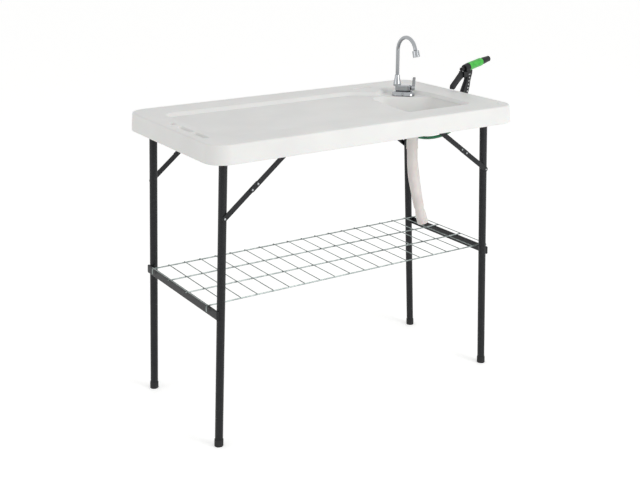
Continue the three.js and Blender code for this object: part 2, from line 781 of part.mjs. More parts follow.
// A round rod through points that lie in one upright plane across the Y axis, with square ends
function bentRod(points, radius, sides) {
  const across = vector(0, 1, 0);
  const rings = points.map((centre, index) => {
    const before = points[Math.max(index - 1, 0)];
    const after = points[Math.min(index + 1, points.length - 1)];
    const outwards = across.clone().cross(after.clone().sub(before)).normalize();
    return Array.from({ length: sides }, (_, side) => {
      const angle = ((side + 0.5) / sides) * 2 * Math.PI;
      return centre.clone()
        .addScaledVector(outwards, radius * Math.cos(angle))
        .addScaledVector(across, radius * Math.sin(angle));
    });
  });
  return cappedSkin(rings);
}

// A skin through rings whose two ends are closed by flat fans
function cappedSkin(rings) {
  const count = rings[0].length;
  const middle = (ring) => ring.reduce((sum, point) => sum.add(point), vector(0, 0, 0)).divideScalar(count);
  const points = [...rings.flat(), middle(rings[0]), middle(rings.at(-1))];
  const index = [];
  const last = (rings.length - 1) * count;
  for (let side = 0; side < count; side += 1) {
    const next = (side + 1) % count;
    for (let low = 0; low < last; low += count) {
      index.push(low + side, low + next, low + count + next, low + side, low + count + next, low + count + side);
    }
    index.push(next, side, points.length - 2, last + side, last + next, points.length - 1);
  }
  const geometry = new THREE.BufferGeometry();
  geometry.setAttribute('position', new THREE.Float32BufferAttribute(points.flatMap((p) => [p.x, p.y, p.z]), 3));
  geometry.setIndex(index);
  return geometry;
}

const collarShare = 1.04;
const aeratorTop = spoutEnd.clone().addScaledVector(spoutEndWay, seatGap);
const aeratorLow = aeratorTop.clone().addScaledVector(spoutEndWay, aeratorLength);
const aeratorWaist = aeratorTop.clone().addScaledVector(spoutEndWay, lipRound);
addPiece('spout', geometryOf(solidOf(bentRod(gooseneck, spoutRadius, 12))), chrome, spoutGroup);
addPiece('aerator', joined(
  rod(aeratorTop, aeratorWaist, spoutRadius, roundSides, aeratorRadius),
  rod(aeratorWaist, aeratorLow, aeratorRadius, roundSides, aeratorRadius * collarShare),
), chrome, spoutGroup);

// Under the deck: the threaded shank, its washer and nut, and the tee that feeds the spray hose
const shankTopZ = tapBodyZ - seatGap;
const shankLowZ = -shankLength;
const washerZ = -panelThickness - seatGap - gasketThick;
const deckNutZ = washerZ - seatGap - deckNutHeight;
addPiece('tap_shank', cylinder(shankRadius, shankTopZ - shankLowZ).translate(0, 0, (shankTopZ + shankLowZ) / 2), steel, tap);
addPiece('deck_washer', ringPiece(shankRadius + runGap, deckNutRadius, washerZ, washerZ + gasketThick), blackRubber, tap);
addPiece('deck_nut', lobedNut(shankRadius + runGap, deckNutRadius - lipRound, deckNutHeight, 2, lipRound * 3)
  .translate(0, 0, deckNutZ + deckNutHeight / 2), plastic, tap);

const teeRadius = 12;
const teeHeight = 30;
const inletRadius = 8;
const inletLength = 42;
const outletRadius = 6.5;
const outletLength = 6;
const teeTopZ = recessZ + shankLowZ - seatGap;
const teeMiddleZ = teeTopZ - teeHeight / 2;
const teeLowZ = teeTopZ - teeHeight - outletLength;

function hoseTee() {
  const at = vector(tapX, tapY, teeMiddleZ);
  const inletEnd = vector(tapX, tapY + inletLength, teeMiddleZ);
  const body = cylinder(teeRadius, teeHeight).translate(tapX, tapY, teeMiddleZ);
  const inlet = rod(at, inletEnd, inletRadius);
  const bead = rod(
    vector(tapX, tapY + inletLength - outletLength, teeMiddleZ),
    vector(tapX, tapY + inletLength - outletLength / 2, teeMiddleZ), inletRadius * beadShare,
  );
  const outlet = cylinder(outletRadius, 2 * outletLength).translate(tapX, tapY, teeLowZ + outletLength);
  const bore = rod(
    vector(tapX, tapY + teeRadius, teeMiddleZ),
    vector(tapX, tapY + inletLength + overrun, teeMiddleZ), inletRadius - 2 * tubeWall, 12,
  );
  return cut(joined(body, inlet, bead, outlet), bore);
}

const beadShare = 1.25;
addPiece('hose_tee', hoseTee(), blackPlastic);

// The spray hose hangs in one shallow loop from the tee to the gun's connector
const connectorLowZ = gunBaseZ - connectorLength;
const sprayTeeDrop = 105;
const sprayGunDrop = 105;
const sprayStart = vector(tapX, tapY, teeLowZ - seatGap);
const sprayEnd = vector(gunX, gunY, connectorLowZ - seatGap);
const sprayRoute = new THREE.CubicBezierCurve3(
  sprayStart,
  sprayStart.clone().setZ(sprayStart.z - sprayTeeDrop),
  sprayEnd.clone().setZ(sprayEnd.z - sprayGunDrop),
  sprayEnd,
);

function sprayHose() {
  return geometryOf(solidOf(sweptTube(sprayRoute, hoseSlimRadius, sprayHoseSteps, 8)));
}

const sprayHoseSteps = 40;
addPiece('spray_hose', sprayHose(), darkGreenHose);

// The holder on the right-hand skirt, its two screws and the hose connector that sits in its ring
const holderTopZ = rimBottomZ + holderPlateHeight;
const holderLowZ = rimBottomZ + lipRound;
const ringTopZ = rimBottomZ + holderRingHeight - lipRound * 2;
const collarThick = 4;
const skirtX = (z) => tableLength / 2 - (rimDraft * (z - rimBottomZ)) / (rimHeight - rimEdgeRadius);

function holder() {
  const back = new THREE.Shape();
  const frontX = tableLength / 2 + seatGap + holderPlateThick;
  back.moveTo(skirtX(holderLowZ) + seatGap, holderLowZ);
  back.lineTo(frontX, holderLowZ);
  back.lineTo(frontX, holderTopZ);
  back.lineTo(skirtX(holderTopZ) + seatGap, holderTopZ);
  back.closePath();
  const ring = ringPiece(connectorRadius + runGap, connectorRadius + runGap + holderRingWall, ringTopZ - holderRingHeight, ringTopZ)
    .translate(gunX, gunY, 0);
  const arm = box(
    frontX - holderPlateThick / 2, gunX - connectorRadius - holderRingWall / 2,
    gunY - connectorRadius * armShare, gunY + connectorRadius * armShare, holderLowZ, ringTopZ,
  );
  const holes = screwPlaces.map((y) => rod(
    vector(tableLength / 2 - overrun, y, screwZ), vector(frontX + overrun, y, screwZ), screwRadius + seatGap, 8,
  ));
  return cut(joined(slab(back, holderPlateWidth, gunY), ring, arm), ...holes);
}

function holderScrew(y) {
  const seatX = tableLength / 2 + seatGap + holderPlateThick + seatGap;
  const shaft = rod(vector(seatX - screwLength, y, screwZ), vector(seatX + screwHeadHeight / 2, y, screwZ), screwRadius, 8);
  const head = rod(vector(seatX, y, screwZ), vector(seatX + screwHeadHeight, y, screwZ), screwHeadRadius, 12, screwHeadRadius / 2);
  return joined(shaft, head);
}

const armShare = 0.6;
const collarReachShare = 0.8;
addPiece('spray_holder', holder(), blackPlastic);
addPiece('holder_screw_front', holderScrew(screwPlaces[0]), steel);
addPiece('holder_screw_back', holderScrew(screwPlaces[1]), steel);

const connectorTopZ = gunBaseZ;
const connectorCollarZ = ringTopZ + seatGap;
addPiece('hose_connector', turned([
  [0, connectorTopZ - connectorLength],
  [connectorRadius - collarThick, connectorTopZ - connectorLength],
  [connectorRadius, connectorTopZ - connectorLength + collarThick],
  [connectorRadius, connectorCollarZ],
  [connectorRadius + holderRingWall * collarReachShare, connectorCollarZ],
  [connectorRadius + holderRingWall * collarReachShare, connectorCollarZ + collarThick],
  [connectorRadius - lipRound, connectorTopZ],
  [nippleRadius + runGap, connectorTopZ],
  [nippleRadius + runGap, connectorTopZ - nippleLength - runGap],
  [0, connectorTopZ - nippleLength - runGap],
], 20).translate(gunX, gunY, 0), blackPlastic);

// The spray gun, drawn in its own frame: u runs forwards and h runs up from the connector
const gun = new THREE.Group();
gun.position.set(gunX, gunY, gunBaseZ);
gun.rotation.z = gunTurnShare * quarterTurn;
stand.add(gun);
const barrelRear = vector(barrelRearU, 0, barrelRearH);
const barrelFront = vector(barrelFrontU, 0, barrelFrontH);
const barrelWay = barrelFront.clone().sub(barrelRear).normalize();
const along = (distance) => barrelRear.clone().addScaledVector(barrelWay, distance);
const barrelLength = barrelRear.distanceTo(barrelFront);
const coreRadius = 10;
const rearBodyLength = 22;

// The grip's sections: shares of its height, of its lean, of its length and of its width
const gripSectionShares = [
  [0.005, 0, 0.75, 0.85], [0.106, 0.069, 0.95, 0.95], [0.212, 0.22, 1.12, 1], [0.292, 0.34, 1.2, 1],
  [0.46, 0.6, 1.1, 0.96], [0.619, 0.82, 0.86, 0.88], [0.726, 0.95, 0.9, 0.84], [0.832, 1, 1.15, 0.8],
  [0.938, 0.931, 1.35, 0.8], [1, 0.828, 1.2, 0.78],
];

function gunBody() {
  const grip = loft(gripSectionShares.map(([heightShare, leanShare, lengthShare, widthShare]) => {
    const height = gripHeight * heightShare;
    const middle = gripLean * leanShare;
    const halfLength = (gripLength * lengthShare) / 2;
    const halfWidth = (gripWidth * widthShare) / 2;
    const corners = rectangleCorners(
      middle - halfLength, -halfWidth, middle + halfLength, halfWidth, Math.min(halfLength, halfWidth) * gripRoundShare,
    );
    return roundedPolygon(corners, 3).map((point) => vector(point.x, point.y, height));
  }));
  const nipple = cylinder(nippleRadius, nippleLength + collarThick).translate(0, 0, (collarThick - nippleLength) / 2);
  const rear = rod(along(-rearBodyLength), along(-seatGap), barrelRadius * rearShare, roundSides, barrelRadius);
  const core = rod(along(-rearBodyLength / 2), along(barrelLength), coreRadius, 12);
  const sleeveRoom = rod(along(-seatGap), along(barrelLength + seatGap), barrelRadius + seatGap, roundSides);
  const pinHole = gunPin(gunPinRadius + seatGap, gripWidth);
  return cut(joined(cut(grip, sleeveRoom), rear, core, nipple), pinHole);
}

function gunPin(radius, length) {
  return rod(vector(gunPinU, -length / 2, gunPinH), vector(gunPinU, length / 2, gunPinH), radius, 12);
}

// The trigger: a curved arm behind the grip, with two cheeks that straddle the body at the pin
function gunLever() {
  const arm = new THREE.Shape();
  arm.moveTo(leverTop[0], leverTop[1]);
  arm.quadraticCurveTo(leverBend[0], leverBend[1], leverTip[0], leverTip[1] + gunLeverThick / 2);
  arm.quadraticCurveTo(
    leverTip[0] - gunLeverThick / 2, leverTip[1] - gunLeverThick,
    leverTip[0] + gunLeverThick * leverCurveShares[0], leverTip[1] - gunLeverThick / 2,
  );
  arm.quadraticCurveTo(leverBend[0] + gunLeverThick * leverCurveShares[1], leverBend[1] - gunLeverThick / 3, leverRoot[0], leverRoot[1]);
  arm.closePath();
  const cheek = new THREE.Shape();
  cheek.moveTo(leverTop[0], leverTop[1]);
  cheek.lineTo(leverRoot[0] - gunLeverThick, leverRoot[1] - gunLeverThick / 2);
  cheek.lineTo(gunPinU, gunPinH - cheekRadius);
  cheek.absarc(gunPinU, gunPinH, cheekRadius, -quarterTurn, quarterTurn, false);
  cheek.closePath();
  const cheekMiddle = cheekGap + cheekThick / 2;
  const cheeks = [-1, 1].map((side) => slab(cheek, cheekThick, side * cheekMiddle));
  const bridge = new THREE.Shape();
  bridge.moveTo(leverTop[0], leverTop[1]);
  bridge.lineTo(leverRoot[0] - gunLeverThick, leverRoot[1] - gunLeverThick / 2);
  bridge.lineTo(leverRoot[0], leverRoot[1]);
  bridge.lineTo(leverTop[0] + gunLeverThick / 2, leverTop[1]);
  bridge.closePath();
  const whole = joined(
    slab(arm, gunLeverWidth, 0), slab(bridge, 2 * (cheekGap + cheekThick), 0), ...cheeks,
  );
  return cut(whole, gunPin(gunPinRadius + seatGap, 2 * gripWidth));
}

const gripRoundShare = 0.75;
const rearShare = 0.86;
const cheekGap = 9.3;
const cheekThick = 2;
const cheekRadius = 7;
const leverCurveShares = [0.7, 1.1];
const leverPlaceShares = [[-0.15, 1.122], [-0.6, 0.889], [-1, 0.614], [0.083, 0.974]];
const [leverTop, leverBend, leverTip, leverRoot] = leverPlaceShares
  .map(([reach, height]) => [reach * gunLeverReach, height * gunPinH]);

addPiece('gun_body', gunBody(), blackPlastic, gun);
addPiece('gun_barrel', cut(
  rod(barrelRear, barrelFront.clone().addScaledVector(barrelWay, -seatGap), barrelRadius, 20),
  rod(along(-overrun), along(barrelLength + overrun), coreRadius + seatGap, 12),
), greenPlastic, gun);
addPiece('gun_pin', gunPin(gunPinRadius, 2 * (cheekGap + cheekThick) + lipRound), steel, gun);
addPiece('gun_lever', gunLever(), blackPlastic, gun);

function gunNozzle() {
  const base = along(barrelLength + seatGap);
  const waist = along(barrelLength + seatGap + nozzleLength * nozzleShares[0]);
  const lip = along(barrelLength + nozzleLength * nozzleShares[1]);
  const tip = along(barrelLength + nozzleLength);
  return cut(joined(
    rod(base, waist, barrelRadius * rearShare, roundSides, barrelRadius * rearShare),
    rod(waist, lip, barrelRadius * rearShare, roundSides, nozzleTipRadius),
    rod(lip, tip, nozzleTipRadius, roundSides, nozzleTipRadius * collarShare),
  ), rod(lip, along(barrelLength + nozzleLength + overrun), nozzleTipRadius - tubeWall * 2, 12));
}

const nozzleShares = [0.3, 0.82];
const knobRadius = 7;
const knobLength = 10;
const knobNeckRadius = 3.4;
const knobNeckLength = 7;
addPiece('gun_nozzle', gunNozzle(), blackPlastic, gun);
addPiece('flow_knob', joined(
  rod(along(-rearBodyLength - seatGap), along(-rearBodyLength - knobNeckLength), knobNeckRadius, 8),
  rod(along(-rearBodyLength - knobNeckLength + lipRound / 4), along(-rearBodyLength - knobNeckLength - knobLength), knobRadius, 10),
), blackPlastic, gun);

// Layers of a folding brace, counted outwards from the middle of the leg it stands beside
const lowerLayer = legRadius + layerGap;
const upperLayer = lowerLayer + linkThick + layerGap;
const earLayer = upperLayer + linkThick + layerGap;
const legInnerRadius = legRadius - tubeWall;
const crossbarEndLap = 8;
const crossbarRound = 3;

// Places on one side's frame: side is -1 at the left end and 1 at the basin end, whose frame is
// narrower and folds a little less, so that it nests inside and under the left one
function frameOn(side) {
  const halfWidth = (legSpacing - side * frameStagger) / 2;
  const down = vector(side * Math.sin(splay), 0, -Math.cos(splay));
  const outwards = vector(side * Math.cos(splay), 0, Math.sin(splay));
  const legYs = [-halfWidth, halfWidth];
  const pivot = (y) => vector(side * pivotHalfSpan, y, pivotZ);
  const onLeg = (y, reach) => pivot(y).addScaledVector(down, reach);
  const foldedSlope = quarterTurn * (1 - (side < 0 ? leftFoldShare : rightFoldShare)) + splay;
  return { side, down, outwards, legYs, pivot, onLeg, foldedSlope };
}

function slice(lowZ, highZ) {
  return box(-tableLength, tableLength, -tableWidth, tableWidth, lowZ, highZ);
}

function legTube(frame, y, outwardsY) {
  const top = frame.onLeg(y, -legTopRise);
  const low = frame.onLeg(y, pivotZ + overrun);
  const tube = cut(
    rod(top, low, legRadius),
    rod(frame.onLeg(y, -overrun), frame.onLeg(y, pivotZ + 2 * overrun), legInnerRadius),
    slice(-2 * overrun, capFloor + seatGap),
  );
  const rivetAt = (layer) => frame.onLeg(y, braceLegReach).add(vector(0, outwardsY * layer, 0));
  const shaft = rod(rivetAt(legInnerRadius + tubeWall / 2), rivetAt(upperLayer + rivetHeadHeight / 2), rivetRadius, 12);
  const head = rod(rivetAt(upperLayer), rivetAt(upperLayer + rivetHeadHeight), rivetHeadRadius, 12, rivetRadius);
  return joined(tube, shaft, head);
}

function footCap(frame, y) {
  const top = frame.onLeg(y, (pivotZ - capHeight) / Math.cos(splay));
  const outer = rod(top, frame.onLeg(y, pivotZ + overrun), capRadius);
  const pocket = cut(
    rod(frame.onLeg(y, (pivotZ - capHeight) / Math.cos(splay) - overrun), frame.onLeg(y, pivotZ + overrun), legRadius + seatGap),
    slice(-2 * overrun, capFloor),
  );
  return cut(outer, pocket, slice(-2 * overrun, 0));
}

function topBar(frame) {
  const [frontY, backY] = frame.legYs;
  const legs = frame.legYs.map((y) => rod(frame.onLeg(y, -2 * overrun), frame.onLeg(y, 2 * overrun), legRadius + seatGap));
  return cut(
    rod(frame.pivot(frontY), frame.pivot(backY), topBarRadius),
    rod(frame.pivot(frontY - overrun), frame.pivot(backY + overrun), topBarRadius - tubeWall),
    ...legs,
  );
}

// The flat crossbar stands on the outer side of both legs, its ends coped round them
function crossbar(frame) {
  const [frontY, backY] = frame.legYs;
  const middle = frame.onLeg(0, crossbarReach).addScaledVector(frame.outwards, crossbarOffset);
  const outline = new THREE.Shape(rectangleOutline(crossbarThick, crossbarTall, crossbarRound, frame.side * splay)
    .map((point) => new THREE.Vector2(point.x + middle.x, point.y + middle.z)));
  const legs = frame.legYs.map((y) => rod(
    frame.onLeg(y, crossbarReach - 2 * overrun), frame.onLeg(y, crossbarReach + 2 * overrun), legRadius + seatGap,
  ));
  return cut(slab(outline, backY - frontY + 2 * crossbarEndLap, (frontY + backY) / 2), ...legs);
}

// A rounded rectangle about the origin, turned by an angle
function rectangleOutline(width, height, radius, angle) {
  const corners = rectangleCorners(-width / 2, -height / 2, width / 2, height / 2, radius);
  return roundedPolygon(corners, 3).map((point) => point.rotateAround(new THREE.Vector2(), angle));
}

// A hinge bracket: a ring round the top bar under a plate with two screw heads
function hingeBracket(frame, y) {
  const x = frame.side * pivotHalfSpan;
  const plateTopZ = panelUnderZ - seatGap;
  const plateLowZ = plateTopZ - hingePlateThick;
  const ring = rod(vector(x, y - hingeWidth / 2, pivotZ), vector(x, y + hingeWidth / 2, pivotZ), topBarRadius + runGap + hingeRingWall, 24);
  const plate = box(x - hingePlateLength / 2, x + hingePlateLength / 2, y - hingeWidth / 2, y + hingeWidth / 2, plateLowZ, plateTopZ);
  const neck = box(x - hingeRingWall, x + hingeRingWall, y - hingeWidth / 2, y + hingeWidth / 2, pivotZ + topBarRadius, plateTopZ);
  const bore = rod(vector(x, y - hingeWidth, pivotZ), vector(x, y + hingeWidth, pivotZ), topBarRadius + runGap, 24);
  return cut(joined(ring, plate, neck, ...plateScrews(x, y, hingePlateLength, plateLowZ)), bore);
}

function plateScrews(x, y, length, plateLowZ) {
  return [-1, 1].map((end) => cylinder(rivetHeadRadius, 2 * rivetHeadHeight, 12)
    .translate(x + (end * length * screwShare) / 2, y, plateLowZ));
}

const screwShare = 0.72;

// The brace's pivot under the panel is level with the leg's rivet when the leg is folded
function bracePlaces(frame, y) {
  const braceZ = pivotZ - braceLegReach * Math.sin(frame.foldedSlope);
  const top = vector(frame.side * (pivotHalfSpan - bracePivotInset), y, braceZ);
  const low = frame.onLeg(y, braceLegReach);
  const foldedGap = bracePivotInset - braceLegReach * Math.cos(frame.foldedSlope);
  const lowerLength = (top.distanceTo(low) + foldedGap) / 2;
  const way = low.clone().sub(top).normalize();
  const knuckle = low.clone().addScaledVector(way, -lowerLength);
  return { top, low, knuckle, way };
}

// A flat link with round ends between two places, at a layer out from the leg, with a hole at its first place
function link(from, to, layer, outwardsY) {
  const angle = Math.atan2(to.z - from.z, to.x - from.x);
  const outline = new THREE.Shape();
  outline.absarc(to.x, to.z, linkWidth / 2, angle - quarterTurn, angle + quarterTurn, false);
  outline.absarc(from.x, from.z, linkWidth / 2, angle + quarterTurn, angle + 3 * quarterTurn, false);
  const middleY = from.y + outwardsY * (layer + linkThick / 2);
  const hole = rod(vector(from.x, middleY - overrun, from.z), vector(from.x, middleY + overrun, from.z), rivetRadius + seatGap, 12);
  return cut(slab(outline, linkThick, middleY), hole);
}

function upperLink(frame, y, outwardsY) {
  const { top, knuckle, way } = bracePlaces(frame, y);
  const end = knuckle.clone().addScaledVector(way, linkLap - linkWidth / 2);
  const heads = [knuckle, end].map((place) => {
    const seat = place.clone().add(vector(0, outwardsY * (upperLayer + linkThick), 0));
    return rod(
      seat.clone().add(vector(0, (-outwardsY * linkThick) / 2, 0)),
      seat.add(vector(0, outwardsY * rivetHeadHeight, 0)), rivetHeadRadius, 12, rivetRadius,
    );
  });
  return joined(link(top, end, upperLayer, outwardsY), ...heads);
}

function lowerLink(frame, y, outwardsY) {
  const { low, knuckle } = bracePlaces(frame, y);
  return link(low, knuckle, lowerLayer, outwardsY);
}

// The bracket that carries the upper link: a plate under the panel, an ear, and a flush pin
function braceBracket(frame, y, outwardsY) {
  const { top } = bracePlaces(frame, y);
  const plateTopZ = panelUnderZ - seatGap;
  const plateLowZ = plateTopZ - hingePlateThick;
  const outerY = y + outwardsY * (earLayer + linkThick);
  const innerY = outerY - outwardsY * bracketPlateWidth;
  const lowY = Math.min(innerY, outerY);
  const highY = Math.max(innerY, outerY);
  const plate = box(top.x - bracketPlateLength / 2, top.x + bracketPlateLength / 2, lowY, highY, plateLowZ, plateTopZ);
  const ear = new THREE.Shape();
  ear.absarc(top.x, top.z, linkWidth / 2, -2 * quarterTurn, 0, false);
  ear.lineTo(top.x + linkWidth / 2, plateTopZ - hingePlateThick / 2);
  ear.lineTo(top.x - linkWidth / 2, plateTopZ - hingePlateThick / 2);
  const earMiddleY = y + outwardsY * (earLayer + linkThick / 2);
  const pin = rod(
    vector(top.x, y + outwardsY * (upperLayer + seatGap / 2), top.z), vector(top.x, earMiddleY, top.z), rivetRadius, 12,
  );
  const screws = plateScrews(top.x, y + outwardsY * (earLayer - bracketPlateWidth * bracketScrewShare), bracketPlateLength, plateLowZ);
  return joined(plate, slab(ear, linkThick, earMiddleY), pin, ...screws);
}

const bracketScrewShare = 0.4;

[[-1, 'left'], [1, 'right']].forEach(([side, name]) => {
  const frame = frameOn(side);
  const ends = [['front', frame.legYs[0], -1], ['back', frame.legYs[1], 1]];
  ends.forEach(([end, y, outwardsY]) => {
    addPiece(`${name}_${end}_leg`, legTube(frame, y, outwardsY), hammertone);
    addPiece(`${name}_${end}_foot`, footCap(frame, y), blackRubber);
    addPiece(`${name}_${end}_hinge`, hingeBracket(frame, y - outwardsY * hingeInset), zinc);
    addPiece(`${name}_${end}_brace_bracket`, braceBracket(frame, y, outwardsY), zinc);
    addPiece(`${name}_${end}_upper_link`, upperLink(frame, y, outwardsY), zinc);
    addPiece(`${name}_${end}_lower_link`, lowerLink(frame, y, outwardsY), zinc);
  });
  addPiece(`${name}_top_bar`, topBar(frame), hammertone);
  addPiece(`${name}_crossbar`, crossbar(frame), hammertone);
});

// The wire shelf hooks over the two crossbars, its welded wires fused into one grid
const crossbarTopZ = pivotZ - crossbarReach * Math.cos(splay) + crossbarOffset * Math.sin(splay)
  + (crossbarTall / 2) * Math.cos(splay) + (crossbarThick / 2) * Math.sin(splay);
const crossbarOuterX = pivotHalfSpan + crossbarReach * Math.sin(splay) + crossbarOffset * Math.cos(splay)
  + (crossbarTall / 2) * Math.sin(splay) + (crossbarThick / 2) * Math.cos(splay);
const railZ = crossbarTopZ + seatGap + wireRadius;
const crossWireZ = railZ + (wireRadius + crossWireRadius) * weldShare();
const hookRadius = 5;
const innerRailShares = [-0.316, 0.342];
const shelfWireLeftX = leftWireReach - crossbarOuterX;
const shelfWireRightX = crossbarOuterX + rightWireReach;

function weldShare() {
  return 0.8;
}

function hookBend(cornerX, way, drop) {
  const turn = [0, 1, 2, 3].map((step) => (step / 3) * quarterTurn);
  const bend = turn.map((angle) => vector(
    cornerX - way * hookRadius * (1 - Math.sin(angle)), 0, railZ - hookRadius * (1 - Math.cos(angle)),
  ));
  return [...bend, vector(cornerX, 0, railZ - drop)];
}

function wireShelf() {
  const leftEnd = hookBend(-crossbarOuterX - leftHookGap - wireRadius, -1, leftHookDrop).reverse();
  const rightEnd = hookBend(crossbarOuterX + rightHookGap + wireRadius, 1, rightHookDrop);
  const hooked = [-shelfHalfWidth, shelfHalfWidth].map((y) => bentRod([...leftEnd, ...rightEnd], wireRadius, 6).translate(0, y, 0));
  const straight = innerRailShares.map((share) => bentRod([
    vector(shelfWireLeftX - railTipOverhang, 0, railZ), vector(shelfWireRightX + railTipOverhang, 0, railZ),
  ], wireRadius, 6).translate(0, share * shelfHalfWidth, 0));
  const wires = [];
  for (let index = 0; index < crossWireCount; index += 1) {
    const x = shelfWireLeftX + ((shelfWireRightX - shelfWireLeftX) * index) / (crossWireCount - 1);
    wires.push(rod(
      vector(x, -shelfHalfWidth - wireRadius, crossWireZ), vector(x, shelfHalfWidth + wireRadius, crossWireZ), crossWireRadius, 6,
    ));
  }
  return joined(...hooked, ...straight, ...wires);
}

addPiece('wire_shelf', wireShelf(), zinc);

// The origin is on the floor, in the middle of the stand's footprint without its two hoses
const footprint = new THREE.Box3();
stand.updateMatrixWorld(true);
stand.traverse((piece) => {
  if (piece.isMesh && !piece.name.endsWith('hose')) {
    footprint.expandByObject(piece, true);
  }
});
const middle = footprint.getCenter(vector(0, 0, 0));
stand.children.forEach((child) => child.position.sub(vector(middle.x, middle.y, 0)));

export default stand;
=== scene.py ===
import math

import bmesh
import bpy
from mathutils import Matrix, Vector


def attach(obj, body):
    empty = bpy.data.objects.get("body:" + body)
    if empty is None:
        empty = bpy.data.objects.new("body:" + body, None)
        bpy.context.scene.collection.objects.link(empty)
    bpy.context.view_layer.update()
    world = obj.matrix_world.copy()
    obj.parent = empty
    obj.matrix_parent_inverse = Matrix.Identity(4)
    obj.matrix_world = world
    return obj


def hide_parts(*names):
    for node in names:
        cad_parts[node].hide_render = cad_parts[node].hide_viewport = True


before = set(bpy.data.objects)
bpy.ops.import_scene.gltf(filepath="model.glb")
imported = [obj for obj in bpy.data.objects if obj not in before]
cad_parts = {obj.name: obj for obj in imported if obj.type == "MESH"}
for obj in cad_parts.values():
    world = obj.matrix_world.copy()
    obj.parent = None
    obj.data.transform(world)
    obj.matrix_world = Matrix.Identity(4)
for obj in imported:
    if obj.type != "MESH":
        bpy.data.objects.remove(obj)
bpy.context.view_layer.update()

# The camera stands at the photograph's angle: to the left of the stand, on the side away from the tap,
# above the tabletop and looking down on it. Its place, like all places in this file, is measured from
# under the middle of the tabletop, which lies 80 mm to the left of the frame's origin.
TABLE_MIDDLE = Vector((-0.0802849, 0, 0))
SENSOR_WIDTH = 36
PHOTO_WIDTH_PIXELS = 640
FOCAL_LENGTH_PIXELS = 1057.5
LOOKS_DOWN_DEGREES = 18.32
LOOKS_RIGHT_DEGREES = 32.77
camera_data = bpy.data.cameras.new("camera")
camera_data.sensor_width = SENSOR_WIDTH
camera_data.lens = SENSOR_WIDTH * FOCAL_LENGTH_PIXELS / PHOTO_WIDTH_PIXELS
camera = bpy.data.objects.new("camera", camera_data)
camera.location = Vector((-1.815, -2.794, 1.598)) + TABLE_MIDDLE
camera.rotation_euler = (math.radians(90 - LOOKS_DOWN_DEGREES), 0, math.radians(-LOOKS_RIGHT_DEGREES))
bpy.context.scene.collection.objects.link(camera)
bpy.context.scene.camera = camera

# The drain hose is soft polypropylene tube with very fine ribs, pale and slightly warm, with a satin gloss,
# so that it looks nearly smooth. A plain cuff grips the drain's tail, and a flared one ends the hose above
# the shelf, open. It hangs in a line that leans towards the right-hand legs.
HOSE_RADIUS = 0.018
HOSE_WALL = 0.002
HOSE_RIB_HEIGHT = 0.0004
HOSE_RIB_PITCH = 0.003
HOSE_RIB_POINTS = 4
HOSE_SIDES = 32
TOP_CUFF_RADIUS = 0.0193
TOP_CUFF_LENGTH = 0.062
TOP_CUFF_BEAD_LENGTH = 0.003
TAIL_BORE = 0.0165
TAIL_SHARE = 0.7
NECK_RADIUS = 0.0155
NECK_LENGTH = 0.012
NECK_TAPER = 0.004
NECK_LIP = 0.0008
END_CUFF_RADIUS = 0.0192
END_CUFF_LENGTH = 0.05
SHOULDER_LENGTH = 0.008
FLARE_START = 0.018
FLARE_RISE = 0.0002
EDGE_ROUNDING = 0.001
SMALL_STEP = 0.0006


def mm(x, y, z):
    """A place in millimetres from under the tabletop's middle, as a place in the frame."""
    return Vector((x / 1000, y / 1000, z / 1000)) + TABLE_MIDDLE


def through(points, steps):
    """A smooth line through points, as a centripetal spline, which never loops between two of them."""
    first = points[0] * 2 - points[1]
    last = points[-1] * 2 - points[-2]
    padded = [first, *points, last]
    line = []
    for index in range(len(points) - 1):
        p0, p1, p2, p3 = padded[index:index + 4]
        t1 = (p1 - p0).length ** 0.5
        t2 = t1 + (p2 - p1).length ** 0.5
        t3 = t2 + (p3 - p2).length ** 0.5
        for step in range(steps):
            t = t1 + (t2 - t1) * step / steps
            a1 = p0 * ((t1 - t) / t1) + p1 * (t / t1)
            a2 = p1 * ((t2 - t) / (t2 - t1)) + p2 * ((t - t1) / (t2 - t1))
            a3 = p2 * ((t3 - t) / (t3 - t2)) + p3 * ((t - t2) / (t3 - t2))
            b1 = a1 * ((t2 - t) / t2) + a2 * (t / t2)
            b2 = a2 * ((t3 - t) / (t3 - t1)) + a3 * ((t - t1) / (t3 - t1))
            line.append(b1 * ((t2 - t) / (t2 - t1)) + b2 * ((t - t1) / (t2 - t1)))
    return [*line, points[-1]]


def length_of(line):
    return sum((b - a).length for a, b in zip(line, line[1:]))


hose_line = through([
    mm(322, -45, 836), mm(322, -45, 815), mm(322, -45, 797), mm(323, -45, 775), mm(327, -45, 707),
    mm(333, -45, 666), mm(347, -45, 612), mm(354, -45, 583.5), mm(366, -45, 543), mm(378, -45, 505),
], 12)
hose_length = length_of(hose_line)


